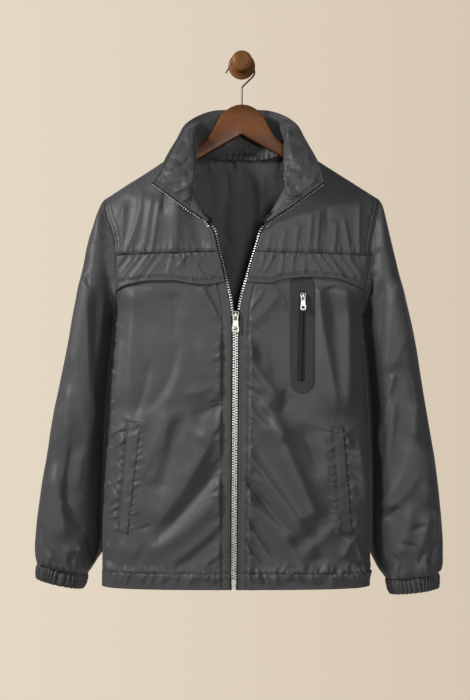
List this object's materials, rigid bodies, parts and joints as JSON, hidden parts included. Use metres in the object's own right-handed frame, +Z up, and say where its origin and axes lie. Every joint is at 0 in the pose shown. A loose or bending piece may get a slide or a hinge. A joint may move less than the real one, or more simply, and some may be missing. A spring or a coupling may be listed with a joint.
{
  "type": "softshell jacket on a hanger",
  "caption": "Zip-front softshell jacket with an open stand collar, hanging hollow on a wooden hanger from a wall peg; the zip pulls swing.",
  "frame": {"origin": "centre of the wall peg's back face, where the peg is fixed to the wall", "axes": "+Z up, -Y out of the wall towards the room and the jacket's front, +X towards the wearer's left (right as seen from the front)"},
  "size_m": [0.6776, 0.1213, 0.9143],
  "materials": {
    "softshell": "satin",
    "softshell_trim": "satin",
    "bonded_patch": "matte",
    "zip_tape": "matte",
    "nickel": "polished",
    "hanger_wood": "satin varnish",
    "peg_wood": "satin varnish",
    "hook_steel": "bright"
  },
  "bodies": {
    "jacket": {"back": "softshell", "chest_patch": "bonded_patch", "chest_slider": "nickel", "chest_zip_coil": "zip_tape", "chest_zip_tape": "zip_tape", "collar": "softshell", "cuff_left": "softshell_trim", "cuff_right": "softshell_trim", "facing_left": "softshell", "facing_right": "softshell", "flap_left": "softshell", "flap_right": "softshell", "front_left": "softshell", "front_right": "softshell", "hanger_left": "hanger_wood", "hanger_right": "hanger_wood", "hook_wire": "hook_steel", "main_slider": "nickel", "sleeve_left": "softshell", "sleeve_right": "softshell", "wall_peg": "peg_wood", "welt_left": "softshell", "welt_right": "softshell", "yoke_left": "softshell", "yoke_right": "softshell", "zip_stop": "nickel", "zip_tape_left": "zip_tape", "zip_tape_right": "zip_tape", "zip_teeth_left": "nickel", "zip_teeth_right": "nickel"},
    "main_pull": {"main_pull": "nickel"},
    "chest_pull": {"chest_pull": "nickel"}
  },
  "joints": [
    {"name": "main_pull_hinge", "type": "hinge", "parent": "jacket", "child": "main_pull", "pos_m": [-0.0108, -0.112, -0.4272], "axis": [-1, 0, 0], "range_deg": [0, 150]},
    {"name": "chest_pull_hinge", "type": "hinge", "parent": "jacket", "child": "chest_pull", "pos_m": [0.0989, -0.11209, -0.39612], "axis": [-1, 0, 0], "range_deg": [0, 150]}
  ]
}
